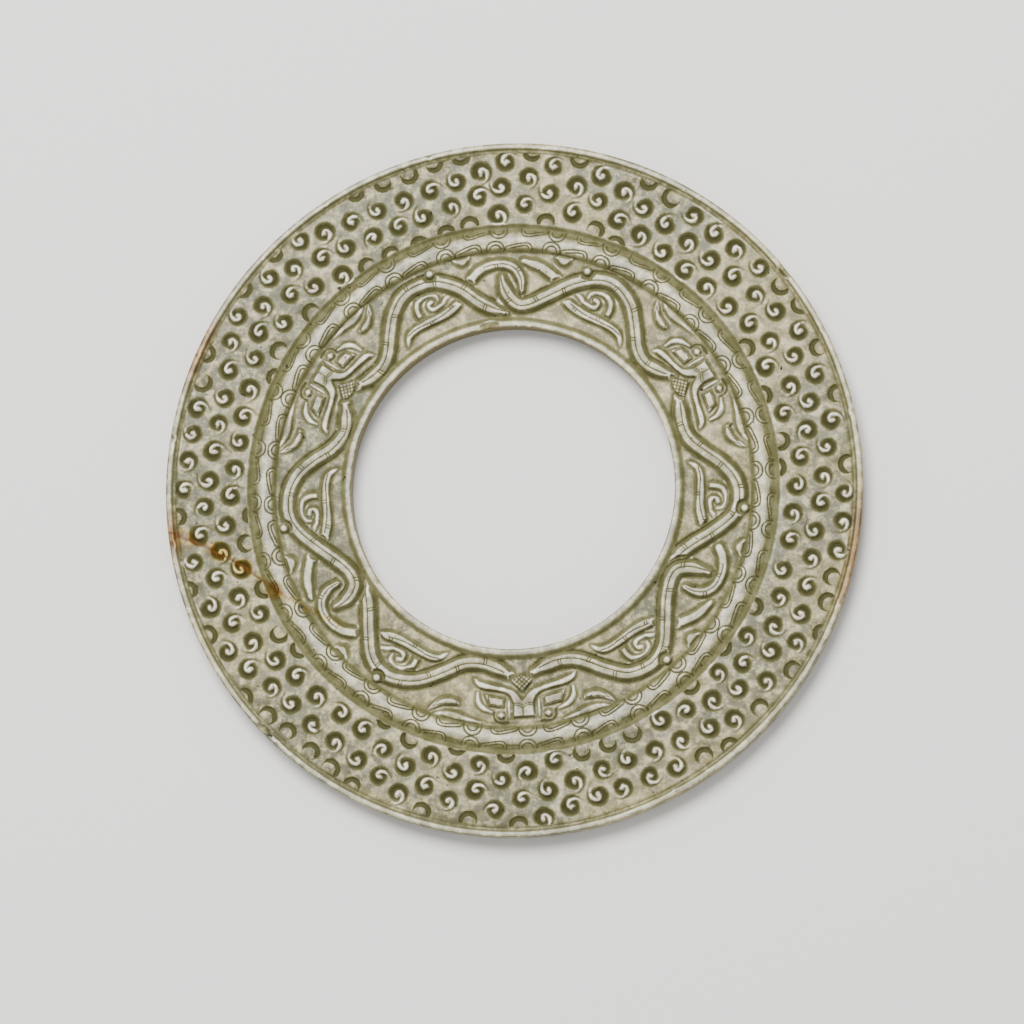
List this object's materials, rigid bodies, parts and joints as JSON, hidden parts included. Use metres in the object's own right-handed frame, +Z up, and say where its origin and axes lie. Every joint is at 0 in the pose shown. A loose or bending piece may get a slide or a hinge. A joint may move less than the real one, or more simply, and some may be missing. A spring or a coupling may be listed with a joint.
{
  "type": "jade bi disc",
  "caption": "Flat carved jade ring with a wide central hole, a sunk band of masks and knotted serpents, and a field of raised spiral grains; lies flat.",
  "frame": {"origin": "centre of the underside, on the axis of the hole", "axes": "+Z up through the hole, out of the carved face; +Y from the centre towards one of the three knots"},
  "size_m": [0.166, 0.166, 0.0068],
  "materials": {
    "jade": "waxy polish, softly worn, with russet veins and stained edges"
  },
  "bodies": {
    "root": {"bi_disc": "jade"}
  },
  "joints": []
}
